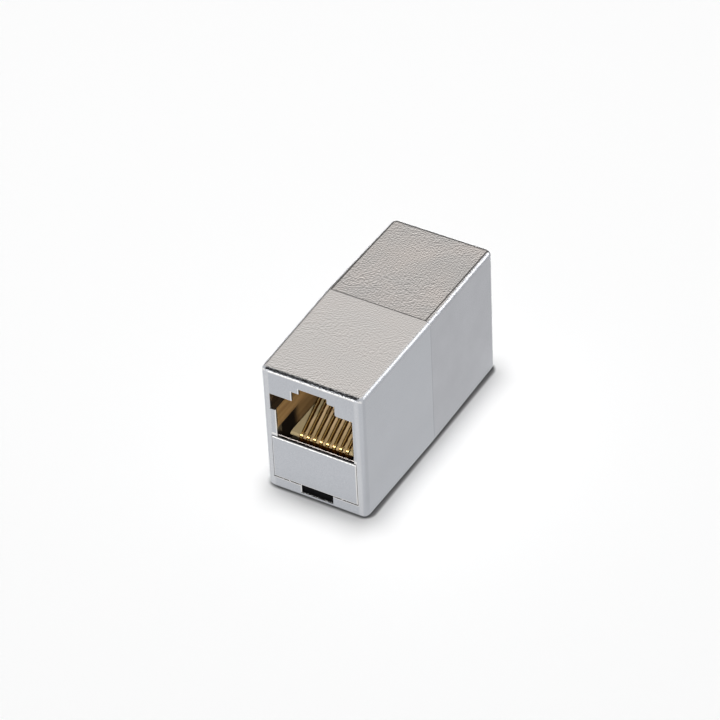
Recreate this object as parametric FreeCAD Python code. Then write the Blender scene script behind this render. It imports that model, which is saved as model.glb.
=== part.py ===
import FreeCAD, Part
import math
import os

# Shielded inline coupler for two network plugs: two plated half shells that meet at mid
# length, a socket in each end face, latch side up. Millimetres. X is the width, Y runs from
# the front socket (-Y) to the rear socket (+Y), Z is up, and the origin is at the middle of
# the base. Places inside an end are given as a depth behind its face. The rear end is the
# front end turned half round about the vertical axis.

# Housing, measured at the end faces. The walls are drafted, so the seam is the widest place.
length = 35.8
end_width = 15.6
end_height = 20.9
side_draft = 0.25          # how much further out each side wall is at the seam
top_draft = 0.25
corner_radius = 0.9        # upright corners beside each end face
top_radius = 0.8
long_bottom_radius = 0.6
end_bottom_radius = 0.4
seam_bevel = 0.06
front_wall = 1.3
floor_thickness = 0.62
cavity_half_width = 6.7
cavity_top = 19.2

# Tongue on the front shell at the seam, and the rebate for it in the rear shell
tongue_thickness = 0.5
tongue_length = 1.2
tongue_clearance = 0.05
tongue_floor_thickness = 0.3
tongue_root = 0.6          # how far the tongue is let into its own shell

# Socket opening. The keying groove is on the left, seen from outside.
port_centre = 0.15
port_width = 11.85
sill_height = 9.2
port_height = 7.3
key_groove_width = 0.83
key_groove_height = 2.55
latch_wide_width = 6.6
latch_wide_height = 1.6
latch_narrow_width = 4.3
latch_narrow_height = 2.45
latch_corner_radius = 0.28
channel_side_room = 0.3    # how much wider the latch channel is behind the front wall
guide_bottom = 10.6         # the guide walls beside the plug end here; the room below is wider
plug_depth = 13.2
opening_bevel = 0.08

# Panel under the socket, and the slot under the panel
panel_left = -6.7
panel_right = 6.4
panel_bottom = 1.9
panel_gap = 0.04
panel_edge_bevel = 0.07
sill_thickness = 0.62
sill_slope_height = 0.34   # the sill's front edge slopes back, steeply
sill_slope_depth = 0.14
sill_rear_radius = 0.12
panel_foot_top = 4.5
panel_thick_top = 5.3
foot_gap_half_width = 2.75
slot_left = -2.45
slot_right = 2.4
slot_bevel = 0.12
slot_ledge_depth = 0.55
slot_ledge_height = 1.5

# Contact block
block_front = 2.44
land_half_width = 5.25
land_height = 8.42
land_bevel = 0.22
plate_underside = 7.27
nose_bottom = 8.0           # the plate thins to this at its front edge, from below
nose_slope_depth = 0.9
rail_inner = 4.25
skid_half_width = 6.6       # the rails widen to the housing's inner width at their feet
skid_top = 3.4
web_top = 5.8
web_thickness = 0.9
comb_wall = 1.6
comb_wall_half_width = 6.6
comb_wall_top = 19.0
notch_width = 0.66          # one notch in the plate's nose for the bend of each contact
notch_depth = 0.96
comb_slot_depth = 0.9
comb_slot_bottom = 10.2
comb_slot_top = 15.0
tail_hole_room = 0.05

# Contacts: flat gold-plated springs
contact_count = 8
contact_pitch = 1.016
contact_width = 0.48
contact_thickness = 0.3
contact_edge_bevel = 0.08
bend_radius = 0.8          # on the centre line
bend_front = 2.4            # depth of the foremost point of the bend, on the centre line
rise_angle = 28.0
tip_depth = 13.9
upper_tail_height = 6.92
lower_tail_height = 5.62
jog_start = 9.4
jog_end = 11.4
jog_radius = 0.5
tail_overhang = 0.75       # how far a tail stands out of the far face of the board

# Circuit board, upright at mid length
board_thickness = 1.6
board_half_width = 6.4
board_bottom = 2.4
board_top = 15.0
board_hole_room = 0.05     # how far a hole stands clear of the tail on each side
solder_spread = 0.2        # how far the solder reaches round a tail at the board
solder_tip_spread = 0.04
solder_height = 0.45

# Bar that locks the two shells together. Its ends show black in the slots.
bar_recess = 0.3
bar_side_gap = 0.06
bar_neck_top = 1.45
bar_barb_top = 1.83
bar_lead_in = 0.15

front_y = -length / 2
board_depth = length / 2 - board_thickness / 2     # depth of the board's near face
port_left = port_centre - port_width / 2
port_right = port_centre + port_width / 2
shoulder = sill_height + port_height
far = 30.0                                         # clear of the whole housing
touch = 0.001                                      # tolerance when picking edges


def box(x0, x1, d0, d1, z0, z1):
    """Box between two X, two depths behind the front face and two Z."""
    corner = FreeCAD.Vector(x0, front_y + d0, z0)
    return Part.makeBox(x1 - x0, d1 - d0, z1 - z0, corner)


def polygon_face(points):
    return Part.Face(Part.makePolygon(points + points[:1]))


def along_depth(outline, d0, d1):
    """Solid of an (x, z) outline between two depths."""
    face = polygon_face([FreeCAD.Vector(x, front_y + d0, z) for x, z in outline])
    return face.extrude(FreeCAD.Vector(0, d1 - d0, 0))


def along_width(outline, x0, x1):
    """Solid of a (depth, z) outline between two X."""
    face = polygon_face([FreeCAD.Vector(x0, front_y + d, z) for d, z in outline])
    return face.extrude(FreeCAD.Vector(x1 - x0, 0, 0))


def turned(shape):
    """The same thing at the rear end."""
    copy = shape.copy()
    copy.rotate(FreeCAD.Vector(0, 0, 0), FreeCAD.Vector(0, 0, 1), 180)
    return copy


def contact_x(index):
    return (index - (contact_count - 1) / 2) * contact_pitch


def span(edge, axis):
    """Lowest and highest place of an edge along one axis (0, 1 or 2)."""
    places = [vertex.Point[axis] for vertex in edge.Vertexes]
    return min(places), max(places)


def end_rectangle(half_width, height, y):
    corners = [(-half_width, 0), (half_width, 0), (half_width, height), (-half_width, height)]
    return [FreeCAD.Vector(x, y, z) for x, z in corners]


def housing_form():
    """One half of the housing before it is hollowed: drafted walls, rounded edges."""
    half = end_width / 2
    end = end_rectangle(half, end_height, front_y)
    seam = end_rectangle(half + side_draft, end_height + top_draft, 0)
    faces = [polygon_face(end), polygon_face(seam)]
    for i in range(4):
        j = (i + 1) % 4
        faces.append(polygon_face([end[i], end[j], seam[j], seam[i]]))
    form = Part.makeSolid(Part.makeShell(faces))

    form = rounded(form, housing_radius)
    seam_loop = [e for e in form.Edges if span(e, 1)[0] > -touch]
    return form.makeChamfer(seam_bevel, seam_loop).Solids[0]


def housing_radius(edge):
    """Radius for one edge of the plain housing, or None where it stays sharp at the seam."""
    low, high = span(edge, 2)
    if span(edge, 1)[0] > -touch:
        return None
    if span(edge, 1)[1] > -touch:
        return top_radius if low > 1 else long_bottom_radius
    if high - low > 1:
        return corner_radius
    return top_radius if low > 1 else end_bottom_radius


def rounded(solid, radius_of):
    """Rounds all edges in one go, so that edges of different radii blend at their corners."""
    document = FreeCAD.newDocument("rounding")
    base = document.addObject("Part::Feature", "base")
    base.Shape = solid
    fillet = document.addObject("Part::Fillet", "fillet")
    fillet.Base = base
    radii = [(number, radius_of(edge)) for number, edge in enumerate(base.Shape.Edges, 1)]
    fillet.Edges = [(number, radius, radius) for number, radius in radii if radius]
    document.recompute()
    result = fillet.Shape.Solids[0].copy()
    FreeCAD.closeDocument(document.Name)
    return result


def socket_opening():
    """Outline of the socket through the front wall, with the keying groove and latch steps."""
    groove_left = port_left - key_groove_width
    groove_bottom = shoulder - key_groove_height
    wide = latch_wide_width / 2
    narrow = latch_narrow_width / 2
    wide_top = shoulder + latch_wide_height
    narrow_top = shoulder + latch_narrow_height
    outline = [
        (port_left, sill_height), (port_right, sill_height), (port_right, shoulder),
        (port_centre + wide, shoulder), (port_centre + wide, wide_top),
        (port_centre + narrow, wide_top), (port_centre + narrow, narrow_top),
        (port_centre - narrow, narrow_top), (port_centre - narrow, wide_top),
        (port_centre - wide, wide_top), (port_centre - wide, shoulder),
        (groove_left, shoulder), (groove_left, groove_bottom), (port_left, groove_bottom)]
    opening = along_depth(outline, -1, front_wall)
    places = [(port_centre + wide, shoulder), (port_centre + narrow, wide_top)]
    corners = [e for e in opening.Edges
               if any(abs(span(e, 0)[0] - x) < touch and abs(span(e, 0)[1] - x) < touch
                      and abs(span(e, 2)[0] - z) < touch and abs(span(e, 2)[1] - z) < touch
                      for x, z in places)]
    return opening.makeFillet(latch_corner_radius, corners).Solids[0]


def plug_space():
    """What a plug needs behind the front wall: guide channel, keying groove, latch channel."""
    half = latch_wide_width / 2 + channel_side_room
    groove_left = port_left - key_groove_width
    channel = box(port_left, port_right, front_wall, plug_depth, sill_height, shoulder)
    groove = box(groove_left, port_left, front_wall, plug_depth, shoulder - key_groove_height, shoulder)
    latch = box(port_centre - half, port_centre + half, front_wall, plug_depth, shoulder, cavity_top)
    return channel.fuse([groove, latch])


def lower_space():
    """Room under the socket for the contact block, and the way down into the locking slot."""
    room = box(-cavity_half_width, cavity_half_width, front_wall, plug_depth, floor_thickness, guide_bottom)
    window = box(panel_left, panel_right, -1, front_wall, panel_bottom, sill_height)
    slot = box(slot_left, slot_right, -1, slot_ledge_depth, floor_thickness, panel_bottom)
    throat = box(slot_left, slot_right, slot_ledge_depth, front_wall, floor_thickness, slot_ledge_height)
    return room.fuse([window, slot, throat])


def slot_bevels():
    """Bevel round the mouth of the locking slot, on its two sides and its lower edge."""
    big = slot_bevel
    mouth = [FreeCAD.Vector(slot_left - big, front_y, floor_thickness - big),
             FreeCAD.Vector(slot_right + big, front_y, floor_thickness - big),
             FreeCAD.Vector(slot_right + big, front_y, panel_bottom),
             FreeCAD.Vector(slot_left - big, front_y, panel_bottom)]
    throat = [FreeCAD.Vector(slot_left, front_y + big, floor_thickness),
              FreeCAD.Vector(slot_right, front_y + big, floor_thickness),
              FreeCAD.Vector(slot_right, front_y + big, panel_bottom),
              FreeCAD.Vector(slot_left, front_y + big, panel_bottom)]
    faces = [polygon_face(mouth), polygon_face(throat)]
    for i in range(4):
        j = (i + 1) % 4
        faces.append(polygon_face([mouth[i], mouth[j], throat[j], throat[i]]))
    return Part.makeSolid(Part.makeShell(faces))


def half_shell():
    shell = housing_form()
    middle = box(-cavity_half_width, cavity_half_width, plug_depth, length / 2, floor_thickness, cavity_top)
    for space in (socket_opening(), plug_space(), lower_space(), slot_bevels(), middle):
        shell = shell.cut(space)
    mouths = [e for e in shell.Edges
              if span(e, 1)[1] < front_y + touch and on_opening(e)]
    return shell.makeChamfer(opening_bevel, mouths).Solids[0]


def on_opening(edge):
    """Whether an edge of the end face bounds the socket or the panel's window."""
    left, right = span(edge, 0)
    low, high = span(edge, 2)
    return left > panel_left - touch and right < panel_right + touch and low > panel_bottom - touch \
        and high < shoulder + latch_narrow_height + touch


def seam_ring(room, d0, d1):
    """Ring round the middle cavity, as thick as the tongue plus the given room."""
    side = cavity_half_width + tongue_thickness + room
    low = floor_thickness - tongue_floor_thickness - room
    outer = box(-side, side, d0, d1, low, cavity_top + tongue_thickness + room)
    inner = box(-cavity_half_width, cavity_half_width, d0, d1, floor_thickness, cavity_top)
    return outer.cut(inner)


def front_shell():
    ring = seam_ring(0, length / 2 - tongue_root, length / 2 + tongue_length)
    return half_shell().fuse(ring).removeSplitter().Solids[0]


def rear_shell():
    rebate = seam_ring(tongue_clearance, length / 2, length / 2 + tongue_length + tongue_clearance)
    return turned(half_shell()).cut(rebate).Solids[0]


def port_panel():
    """Flush panel under the socket. Its foot stands behind the lip of the front wall."""
    left = panel_left + panel_gap
    right = panel_right - panel_gap
    low = panel_bottom + panel_gap
    outline = [
        (0, low), (0, sill_height - sill_slope_height), (sill_slope_depth, sill_height),
        (sill_thickness, sill_height), (sill_thickness, panel_thick_top),
        (front_wall, panel_foot_top), (block_front, panel_foot_top), (block_front, floor_thickness),
        (front_wall, floor_thickness), (front_wall, low)]
    panel = along_width(outline, left, right)
    gap = foot_gap_half_width
    panel = panel.cut(box(-gap, gap, front_wall, block_front, 0, panel_foot_top)).Solids[0]
    face_top = sill_height - sill_slope_height
    border = [e for e in panel.Edges if on_face(e) and span(e, 2)[0] < face_top - touch]
    panel = panel.makeChamfer(panel_edge_bevel, border).Solids[0]
    rear = [e for e in panel.Edges
            if span(e, 2)[0] > sill_height - touch and span(e, 1)[0] > front_y + sill_thickness - touch]
    return panel.makeFillet(sill_rear_radius, rear).Solids[0]


def on_face(edge):
    return span(edge, 1)[1] < front_y + touch


def contact_block():
    """Moulding that carries the contacts: notched plate, side rails, upright comb wall."""
    land = land_half_width
    wall_end = plug_depth + comb_wall
    plate = [(block_front + nose_slope_depth, plate_underside), (block_front, nose_bottom),
             (block_front, land_height - land_bevel), (block_front + land_bevel, land_height),
             (plug_depth, land_height), (plug_depth, plate_underside)]
    parts = [along_width(plate, -land, land)]
    for side in (-1, 1):
        x0, x1 = sorted((side * rail_inner, side * land))
        parts.append(box(x0, x1, block_front, board_depth, floor_thickness, plate_underside))
        x0, x1 = sorted((side * rail_inner, side * skid_half_width))
        parts.append(box(x0, x1, block_front, board_depth, floor_thickness, skid_top))
    web_end = block_front + web_thickness
    parts.append(box(-rail_inner, rail_inner, block_front, web_end, bar_barb_top, web_top))
    half = comb_wall_half_width
    parts.append(box(-half, half, plug_depth, wall_end, bar_barb_top, comb_wall_top))
    block = parts[0].fuse(parts[1:]).removeSplitter()

    tools = []
    side = notch_width / 2
    hole_side = contact_width / 2 + tail_hole_room
    for index in range(contact_count):
        x = contact_x(index)
        tools.append(box(x - side, x + side, 0, block_front + notch_depth, web_top, land_height + 1))
        tools.append(box(x - side, x + side, plug_depth, plug_depth + comb_slot_depth,
                         comb_slot_bottom, comb_slot_top))
        tail = tail_height(index)
        tools.append(box(x - hole_side, x + hole_side, plug_depth - 1, wall_end + 1,
                         tail - contact_thickness / 2, tail + contact_thickness / 2 + tail_hole_room))
    for tool in tools:
        block = block.cut(tool)
    return block.Solids[0]


def tail_height(index):
    return upper_tail_height if index % 2 == 0 else lower_tail_height


def strip(route, radii, x):
    """Flat spring bent from strip: a (depth, z) route with a radius at each inner corner."""
    half = contact_thickness / 2
    near_side = []
    far_side = []
    point = FreeCAD.Vector(route[0][0], route[0][1], 0)
    for k, radius in enumerate(radii):
        corner = FreeCAD.Vector(route[k + 1][0], route[k + 1][1], 0)
        ahead = FreeCAD.Vector(route[k + 2][0], route[k + 2][1], 0)
        a = (corner - FreeCAD.Vector(route[k][0], route[k][1], 0)).normalize()
        b = (ahead - corner).normalize()
        turn = a.getAngle(b)
        left = 1 if a.x * b.y - a.y * b.x > 0 else -1
        reach = radius * math.tan(turn / 2)
        start = corner - a * reach
        end = corner + b * reach
        a_side = FreeCAD.Vector(-a.y, a.x, 0)
        b_side = FreeCAD.Vector(-b.y, b.x, 0)
        centre = start + a_side * (left * radius)
        to_corner = (start - centre + (end - centre)).normalize()
        for side, edges in ((1, near_side), (-1, far_side)):
            offset = side * half
            arc_radius = radius - left * offset
            edges.append(Part.makeLine(point + a_side * offset, start + a_side * offset))
            edges.append(Part.Arc(start + a_side * offset, centre + to_corner * arc_radius,
                                  end + b_side * offset).toShape())
        point = end
    last = FreeCAD.Vector(route[-1][0], route[-1][1], 0)
    direction = (last - point).normalize()
    last_side = FreeCAD.Vector(-direction.y, direction.x, 0)
    for side, edges in ((1, near_side), (-1, far_side)):
        edges.append(Part.makeLine(point + last_side * (side * half), last + last_side * (side * half)))
    caps = [Part.makeLine(near_side[0].Vertexes[0].Point, far_side[0].Vertexes[0].Point),
            Part.makeLine(near_side[-1].Vertexes[-1].Point, far_side[-1].Vertexes[-1].Point)]
    outline = Part.Wire(Part.__sortEdges__(near_side + far_side + caps))
    flat = Part.Face(outline).extrude(FreeCAD.Vector(0, 0, contact_width))
    place = FreeCAD.Matrix(0, 0, 1, x - contact_width / 2, 1, 0, 0, front_y, 0, 1, 0, 0, 0, 0, 0, 1)
    flat.Placement = FreeCAD.Placement(place)
    return flat


def contact(index):
    """One spring: tail, run under the plate, bend round its nose, and the rising tongue."""
    rise = math.radians(rise_angle)
    half_turn = (math.pi - rise) / 2
    bend = (bend_front + bend_radius - bend_radius * math.tan(half_turn), upper_tail_height)
    tip = (tip_depth, upper_tail_height + (tip_depth - bend[0]) * math.tan(rise))
    tail = tail_height(index)
    tail_end = board_depth + board_thickness + tail_overhang
    if tail == upper_tail_height:
        spring = strip([(tail_end, tail), bend, tip], [bend_radius], contact_x(index))
    else:
        route = [(tail_end, tail), (jog_end, tail), (jog_start, upper_tail_height), bend, tip]
        spring = strip(route, [jog_radius, jog_radius, bend_radius], contact_x(index))
    edges = [e for e in spring.Edges if on_crown(e, bend, rise)]
    return spring.makeChamfer(contact_edge_bevel, edges).Solids[0]


def on_crown(edge, bend, rise):
    """Whether an edge runs along the upper side of the rising tongue."""
    if span(edge, 0)[1] - span(edge, 0)[0] > touch or edge.Length < tip_depth / 2:
        return False
    middle = edge.valueAt((edge.FirstParameter + edge.LastParameter) / 2)
    return middle.z > bend[1] + (middle.y - front_y - bend[0]) * math.tan(rise) + touch


def tail_places():
    """(x, z, side) of all sixteen tails. Side is 1 for tails that come from the front."""
    for index in range(contact_count):
        yield contact_x(index), tail_height(index), 1
        yield -contact_x(index), tail_height(index), -1


def tail_prism(x, z, spread, y0, y1):
    """Rectangle round a tail, widened by the given amount on each side, from y0 to y1."""
    half_width = contact_width / 2 + spread
    half_height = contact_thickness / 2 + spread
    corner = FreeCAD.Vector(x - half_width, min(y0, y1), z - half_height)
    return Part.makeBox(2 * half_width, abs(y1 - y0), 2 * half_height, corner)


def circuit_board():
    board = box(-board_half_width, board_half_width, board_depth, board_depth + board_thickness,
                board_bottom, board_top)
    for x, z, side in tail_places():
        board = board.cut(tail_prism(x, z, board_hole_room, -board_thickness, board_thickness))
    return board.Solids[0]


def solder_joints():
    """A small pyramid of solder round each tail, on the far face of the board."""
    joints = []
    for x, z, side in tail_places():
        face = side * board_thickness / 2
        outlines = []
        for spread, y in ((solder_spread, face), (solder_tip_spread, face + side * solder_height)):
            half_width = contact_width / 2 + spread
            half_height = contact_thickness / 2 + spread
            corners = [(-half_width, -half_height), (half_width, -half_height),
                       (half_width, half_height), (-half_width, half_height)]
            points = [FreeCAD.Vector(x + u, y, z + v) for u, v in corners]
            outlines.append(Part.makePolygon(points + points[:1]))
        pyramid = Part.makeLoft(outlines, True, True)
        joints.append(pyramid.cut(tail_prism(x, z, 0, -length, length)).Solids[0])
    return Part.makeCompound(joints)


def locking_bar():
    """Bar along the floor with a barbed head at each end, caught behind the slots' ledges."""
    left = slot_left + bar_side_gap
    right = slot_right - bar_side_gap
    head = slot_ledge_depth
    lead = bar_recess + bar_lead_in
    outline = [
        (bar_recess, floor_thickness), (bar_recess, bar_barb_top - bar_lead_in),
        (lead, bar_barb_top), (head, bar_barb_top), (head, bar_neck_top),
        (length / 2, bar_neck_top), (length / 2, floor_thickness)]
    front = along_width(outline, left, right)
    return front.fuse(turned(front)).removeSplitter().Solids[0]


def build_all():
    parts = {
        "front_shell": front_shell(),
        "rear_shell": rear_shell(),
        "front_port_panel": port_panel(),
        "rear_port_panel": turned(port_panel()),
        "front_contact_block": contact_block(),
        "rear_contact_block": turned(contact_block()),
        "circuit_board": circuit_board(),
        "solder_joints": solder_joints(),
        "locking_bar": locking_bar(),
    }
    for index in range(contact_count):
        spring = contact(index)
        parts["front_contact_%d" % (index + 1)] = spring
        parts["rear_contact_%d" % (index + 1)] = turned(spring)
    return parts


os.makedirs("parts", exist_ok=True)
for name, shape in build_all().items():
    shape.exportStep("parts/%s.step" % name)
    print("%-22s valid %s  solids %d  faces %d  %.2f mm3" % (
        name, shape.isValid(), len(shape.Solids), len(shape.Faces), shape.Volume))
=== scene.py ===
import math

import bpy
from mathutils import Matrix, Vector

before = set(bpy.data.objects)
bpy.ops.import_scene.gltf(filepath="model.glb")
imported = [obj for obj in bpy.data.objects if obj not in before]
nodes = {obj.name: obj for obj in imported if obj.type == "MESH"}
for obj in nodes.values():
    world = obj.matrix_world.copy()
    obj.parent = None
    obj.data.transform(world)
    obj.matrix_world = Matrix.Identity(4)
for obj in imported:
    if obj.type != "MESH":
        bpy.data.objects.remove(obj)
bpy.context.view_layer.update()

mm = 0.001
endNames = ("front", "rear")
contactNodes = [f"{end}_contact_{number}" for end in endNames for number in range(1, 9)]
print("frame loaded,", len(nodes), "nodes")


# node tree helpers: a value that is itself a socket gets linked, anything else is set on the input

def feed(tree, socket, value):
    if isinstance(value, bpy.types.NodeSocket):
        tree.links.new(value, socket)
    elif value is not None:
        socket.default_value = value


def addNode(tree, kind, inputs=None, **settings):
    node = tree.nodes.new(kind)
    for name, value in settings.items():
        setattr(node, name, value)
    for name, value in (inputs or {}).items():
        feed(tree, node.inputs[name], value)
    return node


def calculate(tree, operation, a, b=None, clamp=False):
    node = addNode(tree, "ShaderNodeMath", {0: a, 1: b}, operation=operation, use_clamp=clamp)
    return node.outputs[0]


def add(tree, a, b, clamp=False):
    return calculate(tree, "ADD", a, b, clamp)


def subtract(tree, a, b):
    return calculate(tree, "SUBTRACT", a, b)


def multiply(tree, a, b):
    return calculate(tree, "MULTIPLY", a, b)


def larger(tree, a, b):
    return calculate(tree, "MAXIMUM", a, b)


def absolute(tree, a):
    return calculate(tree, "ABSOLUTE", a)


def oneMinus(tree, a):
    return calculate(tree, "SUBTRACT", 1.0, a)


def remap(tree, value, start, stop, atStart=0.0, atStop=1.0):
    # changes softly from start to stop and stays level beyond them
    node = addNode(tree, "ShaderNodeMapRange", {
        "Value": value, "From Min": start, "From Max": stop, "To Min": atStart, "To Max": atStop},
        interpolation_type="SMOOTHSTEP")
    return node.outputs["Result"]


def fade(tree, value, start, stop):
    return remap(tree, value, start, stop, 1.0, 0.0)


def mixColor(tree, factor, a, b):
    node = addNode(tree, "ShaderNodeMix", {0: factor, 6: a, 7: b}, data_type="RGBA")
    return node.outputs[2]


def scaleVector(tree, vector, scale):
    node = addNode(tree, "ShaderNodeVectorMath", {0: vector, "Scale": scale}, operation="SCALE")
    return node.outputs[0]


def split(tree, vector):
    parts = addNode(tree, "ShaderNodeSeparateXYZ", {0: vector})
    return [parts.outputs[axis] for axis in "XYZ"]


def addSocket(group, direction, label, default=None):
    kind = "NodeSocketVector" if label in ("Place", "Along") else "NodeSocketFloat"
    socket = group.interface.new_socket(name=label, in_out=direction, socket_type=kind)
    if default is not None:
        socket.default_value = default


def newGroup(name, inputs, outputs):
    # an input without a default is always linked
    group = bpy.data.node_groups.new(name, "ShaderNodeTree")
    for label, default in inputs.items():
        addSocket(group, "INPUT", label, default)
    for label in outputs:
        addSocket(group, "OUTPUT", label)
    return group, group.nodes.new("NodeGroupInput"), group.nodes.new("NodeGroupOutput")


def useGroup(tree, group, **inputs):
    return addNode(tree, "ShaderNodeGroup", inputs, node_tree=group)


def newMaterial(name):
    material = bpy.data.materials.new(name)
    material.use_nodes = True
    tree = material.node_tree
    tree.nodes.clear()
    shader = tree.nodes.new("ShaderNodeBsdfPrincipled")
    output = tree.nodes.new("ShaderNodeOutputMaterial")
    tree.links.new(shader.outputs[0], output.inputs["Surface"])
    return material, tree, shader


def addBump(tree, shader, height):
    # height in metres
    bump = addNode(tree, "ShaderNodeBump", {"Height": height, "Distance": 1.0, "Strength": 1.0})
    feed(tree, shader.inputs["Normal"], bump.outputs[0])


def dress(material, *names):
    for name in names:
        mesh = nodes[name].data
        if not mesh.materials:
            mesh.materials.append(material)
        for i in range(len(mesh.materials)):
            mesh.materials[i] = material


# effects that several materials share

grainNoise = {"detail": 1.0, "roughness": 0.4, "contrast": 2.5}
driftNoise = {"detail": 3.0, "roughness": 0.55}
noiseMiddle = 0.5


def makePlaceInMm():
    # the place on the part in millimetres, how far a face looks up, and how far along the length
    group, _, out = newGroup("placeInMm", {}, ["Place", "Up", "Endwise"])
    coords = addNode(group, "ShaderNodeTexCoord")
    _, endwise, up = split(group, coords.outputs["Normal"])
    feed(group, out.inputs["Place"], scaleVector(group, coords.outputs["Object"], 1 / mm))
    feed(group, out.inputs["Up"], up)
    feed(group, out.inputs["Endwise"], absolute(group, endwise))
    return group


def makeMouldGrain(look):
    # wrinkled grain, drawn out along a slanting line: its height, and how steeply it falls across the line
    group, into, out = newGroup("mouldGrain", {
        "Place": None, "Scale": 4.0, "Stretch": 1.0, "Turn": 0.0, "Step": 0.22}, ["Height", "Fall"])
    turned = addNode(group, "ShaderNodeVectorRotate", {
        "Vector": into.outputs["Place"], "Angle": into.outputs["Turn"]}, rotation_type="Z_AXIS")
    x, y, z = split(group, turned.outputs[0])
    along = calculate(group, "DIVIDE", x, into.outputs["Stretch"])
    heights = []
    for across in (y, add(group, y, into.outputs["Step"])):
        point = addNode(group, "ShaderNodeCombineXYZ", {"X": along, "Y": across, "Z": z})
        noise = addNode(group, "ShaderNodeTexNoise", {
            "Vector": point.outputs[0], "Scale": into.outputs["Scale"],
            "Detail": look["detail"], "Roughness": look["roughness"]})
        centred = subtract(group, noise.outputs[0], noiseMiddle)
        heights.append(multiply(group, centred, look["contrast"]))
    feed(group, out.inputs["Height"], add(group, heights[0], noiseMiddle, clamp=True))
    feed(group, out.inputs["Fall"], subtract(group, heights[0], heights[1]))
    return group


def makeToneDrift(look):
    # slow cloudy change of tone, as plating and mouldings have
    group, into, out = newGroup("toneDrift", {"Place": None, "Scale": 0.2, "Amount": 0.05}, ["Factor"])
    cloud = addNode(group, "ShaderNodeTexNoise", {
        "Vector": into.outputs["Place"], "Scale": into.outputs["Scale"],
        "Detail": look["detail"], "Roughness": look["roughness"]})
    centred = subtract(group, cloud.outputs[0], noiseMiddle)
    feed(group, out.inputs["Factor"], multiply(group, centred, into.outputs["Amount"]))
    return group


placeInMm = makePlaceInMm()
mouldGrain = makeMouldGrain(grainNoise)
toneDrift = makeToneDrift(driftNoise)


# plated housing

frontPlating = {
    "topTint": (0.560, 0.536, 0.516, 1),
    "sideTint": (0.470, 0.484, 0.514, 1),
    "edgeSheenTint": (0.72, 0.715, 0.71, 1),     # worn bright, with a painted highlight
    "rimHighlightTint": (0.74, 0.73, 0.72, 1),       # painted highlight round the openings
    "borderSheenTint": (0.545, 0.555, 0.58, 1),  # painted sheen on the upright borders of the end faces
    "drift": 0.06,                          # slow change of tone and roughness
    "driftScale": 0.25,                     # clouds per mm
    "topWarm": (0.60, 0.55, 0.52, 1),       # tone of the slow patches on top
    "warmth": 0.3,
    "patchScale": 0.14,
    "patchContrast": 4.0,
    "patchShare": 0.4,
    "grainScale": 6.2,                      # creases per mm
    "grainStretch": 1.2,
    "grainStep": 0.2,                       # mm across a crease, for how it is shaded
    "grainTurn": -0.56,                     # radians, the way the creases lie
    "topGrainDepth": 0.006,                 # mm
    "edgeGrainDepth": 0.023,                # on the front and back edges
    "flankGrainDepth": 0.003,               # on the long edges
    "sideGrainDepth": 0.0004,
    "reliefTop": 0.36,                      # painted shade and light on the slopes of the grain's creases
    "reliefSide": 0.015,
    "reliefEnd": 0.05,
    "topRoughness": 0.24,
    "sideRoughness": 0.17,
    "edgeRoughness": 0.10,
    "flankRoughness": 0.30,
    "seamDark": 0.7,
    "fieldDark": 0.0,                       # line round the grained field, on the rear top only
    "inner": (0.35, 0.205, 0.080, 1),       # painted warm reflection on the walls inside the socket
    "innerReflectionStreak": (0.20, 0.113, 0.044, 1),
    # painted shade, nearly black, in the socket's recesses
    "innerShade": (0.014, 0.010, 0.007, 1),
    "innerDull": 0.7,
    "streakScale": 1.1,
    "withSill": False,
    "lipHighlightTint": (0.62, 0.56, 0.53, 1),       # painted highlight along the back of the sill
    "sillShade": 0.95,                       # painted shade on the strip in front of that line
}

rearPlating = dict(
    frontPlating, topTint=(0.465, 0.445, 0.428, 1), topWarm=(0.560, 0.505, 0.470, 1), warmth=0.55,
    sideTint=(0.438, 0.446, 0.473, 1), grainScale=6.0, grainStretch=1.25, topGrainDepth=0.010,
    flankGrainDepth=0.007, reliefTop=0.84, drift=0.16, fieldDark=0.82)

panelPlating = dict(frontPlating, withSill=True)

# how far a face looks up, 1 for the top, 0 for a wall and less below: where each zone starts and stops
facingUp = {
    "grainOnEdge": (0.05, 0.45), "grainOnTop": (0.95, 0.995),
    "topTint": (0.75, 0.97), "topRoughness": (0.90, 0.99), "relief": (0.10, 0.90),
    "edgeIn": (0.05, 0.15), "edgeOut": (0.96, 0.99),
    "wornSheenIn": (0.10, 0.18), "wornSheenOut": (0.42, 0.52),
    "seam": (0.3, 0.8), "field": (0.5, 0.6), "overhead": (-0.5, -0.8),
}
# the same along the length: 0 for the sides and the top, 1 for the end faces
facingEnd = {"endEdge": (0.05, 0.25), "wornSheen": (0.50, 0.75), "endWall": (0.90, 1.00)}

# all in mm; a pair is where a line or zone starts to change and where that is done
seam = {"line": (0.045, 0.085), "onWalls": 0.1}     # out from mid length, and the share left on the walls
topField = {"halfWidth": 7.3, "back": 17.22, "sideLine": (0.04, 0.14), "backLine": 0.10}
socketRoom = {
    "beside": (6.90, 6.95), "mouth": (17.50, 17.55), "bottom": (2.20, 2.25), "top": (19.15, 19.20),
    "guides": (10.50, 10.75),                       # painted shade below the plug guides
    "deepIn": (10.3, 12.2), "deepInLeft": 0.1,      # share of that painted shade left deeper in
    "groove": (5.82, 13.80), "grooveShade": 0.93,    # from here outwards and upwards
    "overheadShade": 0.85,
    "streaks": (1.0, 0.12, 1.0),                    # drawn out along the length
}
# the socket's opening and the slot as seen from outside: left, right, bottom, top
openings = [(-5.775, 6.075, 9.33, 16.5), (-6.605, -5.775, 13.95, 16.5), (-3.15, 3.45, 16.5, 18.1),
            (-2.0, 2.3, 16.5, 18.95), (-2.45, 2.4, 0.62, 1.9)]
panelWindow = (-6.7, 6.4, 1.9, 9.6)
openingRim = {"line": (0.077, 0.143), "panelLine": (0.119, 0.221), "panelShare": 1.0, "face": (17.78, 17.80)}
endBorder = {"inner": (6.38, 6.73), "outer": (7.00, 7.35), "face": (17.78, 17.80)}
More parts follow.
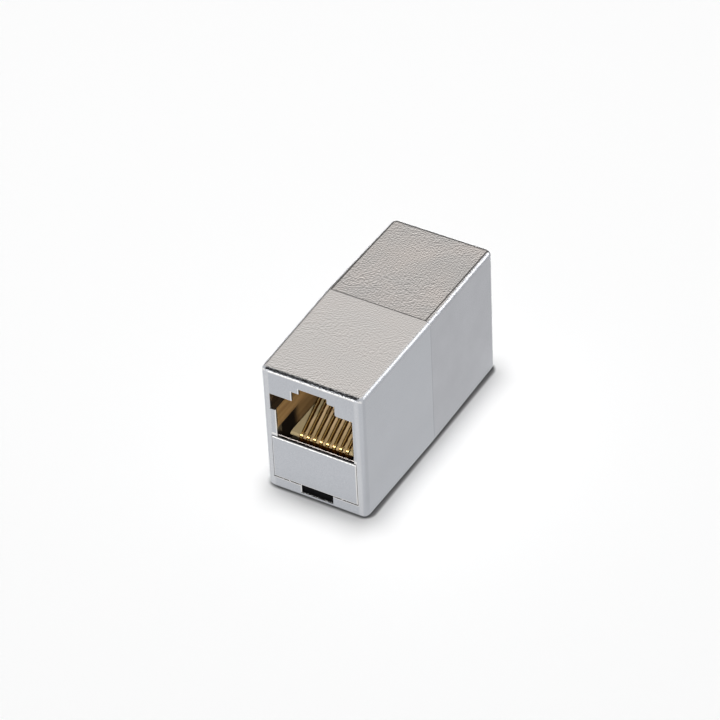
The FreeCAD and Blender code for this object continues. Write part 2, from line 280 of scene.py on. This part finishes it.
# the painted highlight lies from back to front, the painted shade strip beyond it
sillBack = {"back": 17.25, "front": (17.51, 17.53), "level": (8.90, 9.40), "shade": (9.00, 9.04)}


def makeGrainDepth():
    # depth of the grain by how far the surface looks up: its own for the top, the edges and the walls
    group, into, out = newGroup("grainDepth", {
        "Up": None, "Top": 0.01, "Edge": 0.01, "Side": 0.001}, ["Depth"])
    up, top, edge, side = (into.outputs[label] for label in ("Up", "Top", "Edge", "Side"))
    edgeMore = multiply(group, subtract(group, edge, side), remap(group, up, *facingUp["grainOnEdge"]))
    topMore = multiply(group, subtract(group, top, edge), remap(group, up, *facingUp["grainOnTop"]))
    total = add(group, add(group, side, edgeMore), topMore)
    feed(group, out.inputs["Depth"], multiply(group, total, mm))
    return group


def makeSeamLine(look):
    # dark in the parting line at mid length
    group, into, out = newGroup("seamLine", {"Place": None, "Up": None}, ["Mask"])
    _, y, _ = split(group, into.outputs["Place"])
    line = fade(group, absolute(group, y), *look["line"])
    share = remap(group, into.outputs["Up"], *facingUp["seam"], look["onWalls"], 1.0)
    feed(group, out.inputs["Mask"], multiply(group, line, share))
    return group


def makeFieldLine(look):
    # thin line round the grained field of the rear top: left, right and back
    group, into, out = newGroup("fieldLine", {"Place": None, "Up": None}, ["Mask"])
    x, y, _ = split(group, into.outputs["Place"])
    sideways = subtract(group, absolute(group, x), look["halfWidth"])
    beside = fade(group, absolute(group, sideways), *look["sideLine"])
    behind = remap(group, subtract(group, y, look["back"]), -look["backLine"], 0.0)
    onTop = remap(group, into.outputs["Up"], *facingUp["field"])
    feed(group, out.inputs["Mask"], multiply(group, larger(group, beside, behind), onTop))
    return group


def makeSocketInside(look):
    # walls of the room behind the opening, and where painted shade makes them nearly black: below the
    # guides, in the grooves beside them and overhead
    group, into, out = newGroup("socketInside", {"Place": None, "Up": None}, ["Inside", "RecessShade", "Along"])
    x, y, z = split(group, into.outputs["Place"])
    sideways = absolute(group, x)
    depth = absolute(group, y)
    between = multiply(group, fade(group, sideways, *look["beside"]), fade(group, depth, *look["mouth"]))
    level = multiply(group, remap(group, z, *look["bottom"]), fade(group, z, *look["top"]))
    inside = multiply(group, between, level)
    feed(group, out.inputs["Inside"], inside)

    low = fade(group, z, *look["guides"])
    nearMouth = remap(group, depth, *look["deepIn"], look["deepInLeft"], 1.0)
    overhead = remap(group, into.outputs["Up"], *facingUp["overhead"])
    beyond, above = look["groove"]
    groove = multiply(group, calculate(group, "GREATER_THAN", sideways, beyond),
                      calculate(group, "GREATER_THAN", z, above))
    hidden = larger(group, multiply(group, overhead, look["overheadShade"]),
                    multiply(group, groove, look["grooveShade"]))
    recessShade = larger(group, multiply(group, low, nearMouth), hidden)
    feed(group, out.inputs["RecessShade"], multiply(group, inside, recessShade))

    lengthwise = addNode(group, "ShaderNodeVectorMath", {0: into.outputs["Place"], 1: look["streaks"]},
                         operation="MULTIPLY")
    feed(group, out.inputs["Along"], lengthwise.outputs[0])
    return group


def outsideBox(group, x, z, box):
    # how far outside a box a place lies, below zero inside it
    left, right, bottom, top = box
    across = absolute(group, subtract(group, x, (left + right) / 2))
    upright = absolute(group, subtract(group, z, (bottom + top) / 2))
    return larger(group, subtract(group, across, (right - left) / 2),
                  subtract(group, upright, (top - bottom) / 2))


def makeOpeningRim(boxes, window, look):
    # painted highlight: thin light rims round the openings of an end face, and along the joint of the panel
    group, into, out = newGroup("openingRim", {"Place": None}, ["Mask"])
    x, y, z = split(group, into.outputs["Place"])
    # x as someone looking at that end has it
    side = multiply(group, calculate(group, "SIGN", y), -1.0)
    seenX = multiply(group, x, side)
    distances = [outsideBox(group, seenX, z, box) for box in boxes]
    nearest = distances[0]
    for away in distances[1:]:
        nearest = calculate(group, "MINIMUM", nearest, away)
    rim = fade(group, nearest, *look["line"])
    toWindow = absolute(group, outsideBox(group, seenX, z, window))
    joint = remap(group, toWindow, *look["panelLine"], look["panelShare"], 0.0)
    onFace = remap(group, absolute(group, y), *look["face"])
    feed(group, out.inputs["Mask"], multiply(group, larger(group, rim, joint), onFace))
    return group


def makeWornSheenEdge():
    # upper edges of the end faces and the slope of the sill, where hands rub: worn bright, with a painted
    # highlight where they face part way up
    group, into, out = newGroup("wornSheenEdge", {"Up": None, "Endwise": None}, ["Mask"])
    up = into.outputs["Up"]
    band = multiply(group, remap(group, up, *facingUp["wornSheenIn"]), fade(group, up, *facingUp["wornSheenOut"]))
    atEnd = remap(group, into.outputs["Endwise"], *facingEnd["wornSheen"])
    feed(group, out.inputs["Mask"], multiply(group, band, atEnd))
    return group


def makeFaceBorder(look):
    # painted sheen on the upright borders of the end faces beside the port panel
    group, into, out = newGroup("faceBorderSheen", {"Place": None}, ["Mask"])
    x, y, _ = split(group, into.outputs["Place"])
    beside = absolute(group, x)
    across = multiply(group, remap(group, beside, *look["inner"]), fade(group, beside, *look["outer"]))
    onFace = remap(group, absolute(group, y), *look["face"])
    feed(group, out.inputs["Mask"], multiply(group, across, onFace))
    return group


def makeSillBack(look):
    # painted highlight along the back of the sill, and painted shade on the strip in front of it
    group, into, out = newGroup("sillBack", {"Place": None}, ["Line", "Shade"])
    _, y, z = split(group, into.outputs["Place"])
    depth = absolute(group, y)
    lowest, highest = look["level"]
    inFront = remap(group, depth, *look["front"])
    fromBack = calculate(group, "GREATER_THAN", depth, look["back"])
    level = multiply(group, calculate(group, "GREATER_THAN", z, lowest),
                     calculate(group, "LESS_THAN", z, highest))
    line = multiply(group, multiply(group, fromBack, level), oneMinus(group, inFront))
    feed(group, out.inputs["Line"], line)
    strip = multiply(group, level, remap(group, z, *look["shade"]))
    feed(group, out.inputs["Shade"], multiply(group, inFront, strip))
    return group


grainDepth = makeGrainDepth()
openingRimHighlight = makeOpeningRim(openings, panelWindow, openingRim)
wornSheenEdge = makeWornSheenEdge()
faceBorderSheen = makeFaceBorder(endBorder)
sillBackMask = makeSillBack(sillBack)
socketInside = makeSocketInside(socketRoom)
seamLine = makeSeamLine(seam)
fieldLine = makeFieldLine(topField)


def platingTint(tree, look, where, room, sill):
    # side and top, then what lies over them, from the rims to the light line on the sill: painted highlights
    # on the rims, worn edges, borders and sill line, and painted reflection and shade inside the socket
    place, up = where.outputs["Place"], where.outputs["Up"]
    patches = useGroup(tree, toneDrift, Place=place, Scale=look["patchScale"], Amount=look["patchContrast"])
    warm = multiply(tree, add(tree, patches.outputs[0], look["patchShare"], clamp=True), look["warmth"])
    topTone = mixColor(tree, warm, look["topTint"], look["topWarm"])
    rim = useGroup(tree, openingRimHighlight, Place=place)
    wornSheen = useGroup(tree, wornSheenEdge, Up=up, Endwise=where.outputs["Endwise"])
    # painted warm reflection of the springs and the block on the socket's inner walls, in streaks
    streaks = useGroup(tree, mouldGrain, Place=room.outputs["Along"], Scale=look["streakScale"])
    inner = mixColor(tree, streaks.outputs["Height"], look["innerReflectionStreak"], look["inner"])
    border = useGroup(tree, faceBorderSheen, Place=place)
    layers = [(rim.outputs[0], look["rimHighlightTint"]), (wornSheen.outputs[0], look["edgeSheenTint"]),
              (room.outputs["Inside"], inner), (room.outputs["RecessShade"], look["innerShade"]),
              (border.outputs[0], look["borderSheenTint"])]
    if sill:
        layers.append((sill.outputs["Line"], look["lipHighlightTint"]))
    tint = mixColor(tree, remap(tree, up, *facingUp["topTint"]), look["sideTint"], topTone)
    for mask, color in layers:
        tint = mixColor(tree, mask, tint, color)
    return tint


def platingDark(tree, look, where, sill):
    # dark lines: the parting line, round the grained field, and painted shade in front of the sill's painted
    # highlight
    place, up = where.outputs["Place"], where.outputs["Up"]
    parting = useGroup(tree, seamLine, Place=place, Up=up)
    field = useGroup(tree, fieldLine, Place=place, Up=up)
    dark = larger(tree, multiply(tree, parting.outputs[0], look["seamDark"]),
                  multiply(tree, field.outputs[0], look["fieldDark"]))
    if sill:
        dark = larger(tree, dark, multiply(tree, sill.outputs["Shade"], look["sillShade"]))
    return dark


def platingRoughness(tree, look, where, drift):
    # walls and top, then the edges at the ends and along the flanks
    up = where.outputs["Up"]
    onEdge = multiply(tree, remap(tree, up, *facingUp["edgeIn"]), fade(tree, up, *facingUp["edgeOut"]))
    atEnd = remap(tree, where.outputs["Endwise"], *facingEnd["endEdge"])
    rough = remap(tree, up, *facingUp["topRoughness"], look["sideRoughness"], look["topRoughness"])
    for share, name in ((atEnd, "edgeRoughness"), (oneMinus(tree, atEnd), "flankRoughness")):
        more = multiply(tree, multiply(tree, onEdge, share), look[name] - look["sideRoughness"])
        rough = add(tree, rough, more)
    return add(tree, rough, drift.outputs[0])


def makePlating(name, look):
    material, tree, shader = newMaterial(name)
    where = useGroup(tree, placeInMm)
    place, up, endwise = (where.outputs[label] for label in ("Place", "Up", "Endwise"))
    drift = useGroup(tree, toneDrift, Place=place, Scale=look["driftScale"], Amount=look["drift"])
    grain = useGroup(tree, mouldGrain, Place=place, Scale=look["grainScale"], Stretch=look["grainStretch"],
                     Turn=look["grainTurn"], Step=look["grainStep"])
    room = useGroup(tree, socketInside, Place=place, Up=up)
    sill = useGroup(tree, sillBackMask, Place=place) if look["withSill"] else None

    # tint, with painted shade and light on the slopes of the creases, the slow drift, and darkened in the
    # lines
    reliefWall = remap(tree, endwise, *facingEnd["endWall"], look["reliefSide"], look["reliefEnd"])
    reliefMore = multiply(tree, remap(tree, up, *facingUp["relief"]), look["reliefTop"] - look["reliefSide"])
    relief = multiply(tree, grain.outputs["Fall"], add(tree, reliefWall, reliefMore))
    tone = add(tree, relief, add(tree, drift.outputs[0], 1.0))
    brightness = multiply(tree, tone, oneMinus(tree, platingDark(tree, look, where, sill)))
    tint = platingTint(tree, look, where, room, sill)
    feed(tree, shader.inputs["Base Color"], scaleVector(tree, tint, brightness))

    dull = multiply(tree, room.outputs["Inside"], look["innerDull"])
    if sill:
        dull = larger(tree, dull, sill.outputs["Line"])
    feed(tree, shader.inputs["Metallic"], oneMinus(tree, dull))
    feed(tree, shader.inputs["Roughness"], platingRoughness(tree, look, where, drift))

    edgeDepth = remap(tree, endwise, *facingEnd["endEdge"], look["flankGrainDepth"], look["edgeGrainDepth"])
    depth = useGroup(tree, grainDepth, Up=up, Top=look["topGrainDepth"], Edge=edgeDepth,
                     Side=look["sideGrainDepth"])
    addBump(tree, shader, multiply(tree, grain.outputs["Height"], depth.outputs[0]))
    return material


dress(makePlating("fineGrainPlating", frontPlating), "front_shell")
dress(makePlating("coarseGrainPlating", rearPlating), "rear_shell")
dress(makePlating("portPanelPlating", panelPlating), *(f"{end}_port_panel" for end in endNames))
print("plated shells and port panels finished")


# contacts

contactLook = {
    "gold": (0.92, 0.64, 0.26, 1),
    "worn": (0.80, 0.54, 0.22, 1),
    "driftScale": 1.2,                      # clouds of worn gold per mm
    "roughness": 0.12,
    "roughnessDrift": 0.1,
    "shine": 0.15,
    "grainScale": 6.0,
    "grainStretch": 0.25,
    "grainDepth": 0.001,                    # mm
    "springShade": (0.022, 0.007, 0.0006, 1),   # painted shade on the corners of a spring, and on its legs below the bend
    "springShadeDull": 0.78,
    "wiped": (0.215, 0.120, 0.030, 1),      # line along the middle that a plug keeps clean
    "wipedDull": 0.7,
    "wipedFaint": 0.25,                     # share of that line at the inner end
    "pitch": 1.016,                         # mm, like all below
    "wipedLine": (0.03, 0.07),              # out from the middle of a spring
    "corner": (0.045, 0.085),
    "wipedDepth": (11.4, 13.6),             # from mid length
    "leg": (8.05, 8.20),                    # above the floor
    "bend": (8.40, 8.65),
}


def makeSpringZones(look):
    # line along the middle of each spring, stronger towards the bend; painted shade at its corners and on
    # its legs
    group, into, out = newGroup("springZones", {"Place": None}, ["Wiped", "SpringShade"])
    x, y, z = split(group, into.outputs["Place"])
    pitches = calculate(group, "DIVIDE", x, look["pitch"])
    share = calculate(group, "FRACT", add(group, pitches, 10.0))    # ten pitches on, so always above zero
    away = multiply(group, absolute(group, subtract(group, share, 0.5)), look["pitch"])
    leg = fade(group, z, *look["leg"])
    strength = remap(group, absolute(group, y), *look["wipedDepth"], look["wipedFaint"], 1.0)
    strength = multiply(group, oneMinus(group, leg), strength)
    feed(group, out.inputs["Wiped"], multiply(group, fade(group, away, *look["wipedLine"]), strength))
    corner = multiply(group, remap(group, away, *look["corner"]), remap(group, z, *look["bend"]))
    feed(group, out.inputs["SpringShade"], larger(group, leg, corner))
    return group


springZones = makeSpringZones(contactLook)


def makeGold(name, look):
    material, tree, shader = newMaterial(name)
    place = useGroup(tree, placeInMm).outputs["Place"]
    zones = useGroup(tree, springZones, Place=place)
    wiped, springShade = zones.outputs["Wiped"], zones.outputs["SpringShade"]
    drift = useGroup(tree, toneDrift, Place=place, Scale=look["driftScale"], Amount=1.0)
    tone = mixColor(tree, add(tree, drift.outputs[0], noiseMiddle, clamp=True), look["gold"], look["worn"])
    tone = mixColor(tree, wiped, tone, look["wiped"])
    tone = mixColor(tree, springShade, tone, look["springShade"])
    feed(tree, shader.inputs["Base Color"], tone)
    dull = larger(tree, multiply(tree, wiped, look["wipedDull"]),
                  multiply(tree, springShade, look["springShadeDull"]))
    feed(tree, shader.inputs["Metallic"], oneMinus(tree, dull))
    rough = add(tree, multiply(tree, drift.outputs[0], look["roughnessDrift"]), look["roughness"])
    feed(tree, shader.inputs["Roughness"], rough)
    shader.inputs["Specular IOR Level"].default_value = look["shine"]
    grain = useGroup(tree, mouldGrain, Place=place, Scale=look["grainScale"], Stretch=look["grainStretch"])
    addBump(tree, shader, multiply(tree, grain.outputs["Height"], look["grainDepth"] * mm))
    return material


dress(makeGold("goldPlating", contactLook), *contactNodes)
print("contacts gold plated")


# plastics, board and solder

# scales per mm, depth in mm
mouldingSurface = {"driftScale": 0.8, "roughnessDrift": 0.15, "grainScale": 4.0, "grainDepth": 0.003}
plainMoulding = {"shine": 0.5, "metallic": 0.0}

blockLook = dict(
    plainMoulding, color=(0.295, 0.232, 0.127, 1), dark=(0.25, 0.195, 0.105, 1), roughness=0.5,
    between=(0.338, 0.236, 0.118, 1),       # painted light on the plate between the springs, near the mouth
    betweenLitDeep=(0.47, 0.33, 0.18, 1),      # the same painted light, lighter deep inside
    under=(0.020, 0.014, 0.009, 1))         # painted shade on all below the plate
barLook = dict(
    plainMoulding, color=(0.005, 0.005, 0.006, 1), dark=(0.003, 0.003, 0.004, 1), roughness=0.6, shine=0.05)
boardLook = dict(
    plainMoulding, color=(0.02, 0.14, 0.05, 1), dark=(0.012, 0.09, 0.035, 1), roughness=0.3)
solderLook = dict(
    plainMoulding, color=(0.66, 0.66, 0.67, 1), dark=(0.5, 0.5, 0.51, 1), roughness=0.28, metallic=1.0)

# mm: out from the middle, from mid length, and above the floor
blockPlate = {"halfWidth": (3.80, 4.00), "backRange": (14.0, 11.0), "under": (7.9, 8.1)}


def makeBlockZones(look):
    # painted light on the plate between the springs, lighter the further back, and painted shade on
    # everything below the plate
    group, into, out = newGroup("blockZones", {"Place": None}, ["Between", "Back", "ShadeUnder"])
    x, y, z = split(group, into.outputs["Place"])
    feed(group, out.inputs["Between"], fade(group, absolute(group, x), *look["halfWidth"]))
    feed(group, out.inputs["Back"], remap(group, absolute(group, y), *look["backRange"]))
    feed(group, out.inputs["ShadeUnder"], fade(group, z, *look["under"]))
    return group


blockZones = makeBlockZones(blockPlate)


def makeMoulding(name, look, surface):
    material, tree, shader = newMaterial(name)
    place = useGroup(tree, placeInMm).outputs["Place"]
    drift = useGroup(tree, toneDrift, Place=place, Scale=surface["driftScale"], Amount=1.0)
    tone = mixColor(tree, add(tree, drift.outputs[0], noiseMiddle, clamp=True), look["color"], look["dark"])
    if "between" in look:
        zones = useGroup(tree, blockZones, Place=place)
        between = mixColor(tree, zones.outputs["Back"], look["between"], look["betweenLitDeep"])
        tone = mixColor(tree, zones.outputs["Between"], tone, between)
        tone = mixColor(tree, zones.outputs["ShadeUnder"], tone, look["under"])
    feed(tree, shader.inputs["Base Color"], tone)
    rough = add(tree, multiply(tree, drift.outputs[0], surface["roughnessDrift"]), look["roughness"])
    feed(tree, shader.inputs["Roughness"], rough)
    shader.inputs["Metallic"].default_value = look["metallic"]
    shader.inputs["Specular IOR Level"].default_value = look["shine"]
    grain = useGroup(tree, mouldGrain, Place=place, Scale=surface["grainScale"], Stretch=1.0)
    addBump(tree, shader, multiply(tree, grain.outputs["Height"], surface["grainDepth"] * mm))
    return material


blockPlastic = makeMoulding("beigeBlockPlastic", blockLook, mouldingSurface)
dress(blockPlastic, *(f"{end}_contact_block" for end in endNames))
dress(makeMoulding("blackBarPlastic", barLook, mouldingSurface), "locking_bar")
dress(makeMoulding("boardResist", boardLook, mouldingSurface), "circuit_board")
dress(makeMoulding("tinSolder", solderLook, mouldingSurface), "solder_joints")
print("blocks, bar and board finished")


# floor, light and camera

def grey(value):
    return (value, value, value, 1)


def inMetres(*lengths):
    return [length * mm for length in lengths]


floorLook = {
    "size": 3.0,                            # metres
    "value": 0.93,
    "roughness": 0.9,
    "lift": 0.02,                           # shown to the camera only, takes the floor to white
    "glossyShadow": 0.2,                    # how much of its shadow the object's reflections show
    "foot": (7.8, 17.65),                   # mm, half width and half length of the footprint
    "footCorner": 1.2,                      # mm
    "contactShadowDark": 0.78,                    # painted shadow: darker line beneath the part's lower edge
    "contactShadowLine": (0.22, 0.78),            # mm out from the footprint, from where it fades to where it ends
    "contactLeft": 0.4,                     # share of it along the left-hand side
    "contactLeftWidth": 2.0,                # mm, over which it comes back to full
    "contactShadowMirrored": 0.15,                # share of that painted shadow that the object's reflections show
    "rightDark": 0.17,                      # how much less the floor at the right gives to reflections
    "rightSide": (6, 12),                   # mm right of the middle, where that starts and is full
    "rightLength": (-27, -18),              # mm along the length, the same
}


def makeContactShadow(look):
    # painted shadow in the narrow line where the part nearly touches the floor: distance from its rounded
    # footprint
    group, _, out = newGroup("contactShadowLine", {}, ["Mask"])
    halfWidth, halfLength = look["foot"]
    corner = look["footCorner"]
    coords = addNode(group, "ShaderNodeTexCoord")
    x, y, _ = split(group, coords.outputs["Object"])
    squares = []
    for along, half in ((x, halfWidth), (y, halfLength)):
        beyond = subtract(group, absolute(group, along), (half - corner) * mm)
        squares.append(calculate(group, "POWER", larger(group, beyond, 0.0), 2.0))
    away = subtract(group, calculate(group, "SQRT", add(group, *squares)), corner * mm)
    line = fade(group, away, *inMetres(*look["contactShadowLine"]))
    leftEdge = inMetres(-halfWidth, look["contactLeftWidth"] - halfWidth)
    share = remap(group, x, *leftEdge, look["contactLeft"], 1.0)
    feed(group, out.inputs["Mask"], multiply(group, line, share))
    return group


def dressFloor(mesh, look):
    material, tree, shader = newMaterial("paleFloor")
    shader.inputs["Roughness"].default_value = look["roughness"]
    shader.inputs["Specular IOR Level"].default_value = 0.0
    ray = addNode(tree, "ShaderNodeLightPath")
    glossy = ray.outputs["Is Glossy Ray"]
    contact = useGroup(tree, makeContactShadow(look)).outputs["Mask"]
    coords = addNode(tree, "ShaderNodeTexCoord")
    x, y, _ = split(tree, coords.outputs["Object"])

    # reflections meet a floor that glows, so that the shadow on it counts for less
    shadowed = look["value"] * look["glossyShadow"]
    toRight = multiply(tree, remap(tree, x, *inMetres(*look["rightSide"])),
                       remap(tree, y, *inMetres(*look["rightLength"])))
    glow = subtract(tree, 1 - shadowed, multiply(tree, toRight, look["rightDark"]))
    glow = multiply(tree, glow, oneMinus(tree, multiply(tree, contact, look["contactShadowMirrored"])))
    feed(tree, shader.inputs["Emission Color"], mixColor(tree, glossy, grey(1), glow))
    lifted = multiply(tree, ray.outputs["Is Camera Ray"], look["lift"])
    feed(tree, shader.inputs["Emission Strength"], add(tree, lifted, glossy))

    # painted shadow beneath the part's lower edge
    base = mixColor(tree, glossy, grey(look["value"]), grey(shadowed))
    under = grey(look["value"] * (1 - look["contactShadowDark"]))
    feed(tree, shader.inputs["Base Color"], mixColor(tree, contact, base, under))
    mesh.materials.append(material)


def makeFloor(look):
    half = look["size"] / 2
    corners = [(-half, -half, 0), (half, -half, 0), (half, half, 0), (-half, half, 0)]
    mesh = bpy.data.meshes.new("floor")
    mesh.from_pydata(corners, [], [(0, 1, 2, 3)])
    floor = bpy.data.objects.new("floor", mesh)
    bpy.context.scene.collection.objects.link(floor)
    dressFloor(mesh, look)


# directions as x, y and z, each from where a dark part starts to where it is full
roomLook = {
    "pale": 1.0,                            # how bright a room the metal reflects
    "dark": 0.04,                           # its dark parts: front left, and low down at the back left
    "frontY": (-0.05, -0.17),
    "frontZ": (0.14, 0.24),
    "frontRightX": (0.0, -0.12),
    "frontLeftX": (-0.80, -0.62),
    "backY": (0.20, 0.40),
    "backX": (-0.15, -0.30),
    "backTopZ": (0.42, 0.34),
    "backBottomZ": (0.0, 0.06),
}


def makeRoom(look):
    world = bpy.data.worlds.new("studioRoom")
    bpy.context.scene.world = world
    world.use_nodes = True
    world.cycles_visibility.diffuse = False
    tree = world.node_tree
    tree.nodes.clear()
    coords = addNode(tree, "ShaderNodeTexCoord")
    x, y, z = split(tree, coords.outputs["Generated"])
    front = multiply(tree, remap(tree, y, *look["frontY"]), remap(tree, z, *look["frontZ"]))
    frontSpan = multiply(tree, remap(tree, x, *look["frontRightX"]), remap(tree, x, *look["frontLeftX"]))
    low = multiply(tree, remap(tree, z, *look["backTopZ"]), remap(tree, z, *look["backBottomZ"]))
    behind = multiply(tree, remap(tree, y, *look["backY"]), remap(tree, x, *look["backX"]))
    dark = larger(tree, multiply(tree, front, frontSpan), multiply(tree, low, behind))
    ray = addNode(tree, "ShaderNodeLightPath")
    dark = multiply(tree, dark, oneMinus(tree, ray.outputs["Is Camera Ray"]))
    strength = remap(tree, dark, 0.0, 1.0, look["pale"], look["dark"])
    background = addNode(tree, "ShaderNodeBackground", {"Strength": strength, "Color": grey(1)})
    addNode(tree, "ShaderNodeOutputWorld", {"Surface": background.outputs[0]})


# each softbox: its direction from the part, distance and size in metres, brightness, and which rays meet it
softboxes = {
    "overhead": {"toward": (-0.05, 0.055, 1.0), "distance": 1.0, "size": (0.34, 0.34), "glow": 29.1,
                 "glossy": False, "diffuse": True},
    "frontStrip": {"toward": (-0.40, -1.0, 0.14), "distance": 0.125, "size": (0.11, 0.05), "glow": 1.1,
                   "glossy": True, "diffuse": False},
    "backRight": {"toward": (0.60, 0.69, 0.40), "distance": 0.6, "size": (0.20, 0.27), "glow": 2.7,
                  "glossy": True, "diffuse": False},
    "portFill": {"toward": (0.405, -0.68, 0.61), "distance": 0.5, "size": (0.05, 0.05), "glow": 510.0,
                 "glossy": False, "diffuse": True},
    "bendGlint": {"toward": (-0.406, -0.609, 0.670), "distance": 0.5, "size": (0.14, 0.14), "glow": 7.0,
                  "glossy": True, "diffuse": False},
}


def makeSoftbox(name, look):
    lamp = bpy.data.lights.new(name, "AREA")
    lamp.shape = "RECTANGLE"
    lamp.size, lamp.size_y = look["size"]
    lamp.energy = look["glow"] * math.pi * lamp.size * lamp.size_y
    item = bpy.data.objects.new(name, lamp)
    bpy.context.scene.collection.objects.link(item)
    away = Vector(look["toward"]).normalized()
    item.location = away * look["distance"]
    item.rotation_mode = "QUATERNION"
    item.rotation_quaternion = away.to_track_quat("Z", "Y")
    item.visible_glossy = look["glossy"]
    item.visible_diffuse = look["diffuse"]
    item.visible_camera = False
    return item


def lightOnly(lamp, name, nodeNames):
    # the lamp reaches these nodes and nothing else
    lit = bpy.data.collections.new(name)
    for nodeName in nodeNames:
        lit.objects.link(nodes[nodeName])
    lamp.light_linking.receiver_collection = lit


cameraSet = {
    "azimuth": 31.99, "elevation": 40.10, "roll": -2.939,      # degrees
    "distance": 512.15, "aimRight": -3.254, "aimUp": 8.765,    # mm, from the middle of the base
    "lens": 185.74, "sensor": 36.0,
    "clip": (0.01, 20),                                        # metres
}


def makeCamera(look):
    azimuth, elevation, roll = (math.radians(look[angle]) for angle in ("azimuth", "elevation", "roll"))
    back = Vector((math.sin(azimuth) * math.cos(elevation), -math.cos(azimuth) * math.cos(elevation),
                   math.sin(elevation)))
    level = Vector((math.cos(azimuth), math.sin(azimuth), 0))
    upright = back.cross(level)
    right = level * math.cos(roll) + upright * math.sin(roll)
    up = upright * math.cos(roll) - level * math.sin(roll)
    place = (right * look["aimRight"] + up * look["aimUp"] + back * look["distance"]) * mm
    data = bpy.data.cameras.new("camera")
    data.lens, data.sensor_width = look["lens"], look["sensor"]
    data.clip_start, data.clip_end = look["clip"]
    camera = bpy.data.objects.new("camera", data)
    bpy.context.scene.collection.objects.link(camera)
    turn = Matrix((right, up, back)).transposed().to_4x4()
    camera.matrix_world = Matrix.Translation(place) @ turn
    bpy.context.scene.camera = camera


makeFloor(floorLook)
makeRoom(roomLook)
lamps = {name: makeSoftbox(name, look) for name, look in softboxes.items()}
socketNodes = [f"{end}_{piece}" for end in endNames for piece in ("contact_block", "port_panel", "shell")]
lightOnly(lamps["portFill"], "litByPortFill", contactNodes + socketNodes)
lightOnly(lamps["bendGlint"], "glintOnContacts", contactNodes)
makeCamera(cameraSet)
bpy.context.scene.view_settings.view_transform = "Standard"
print("studio and camera set")
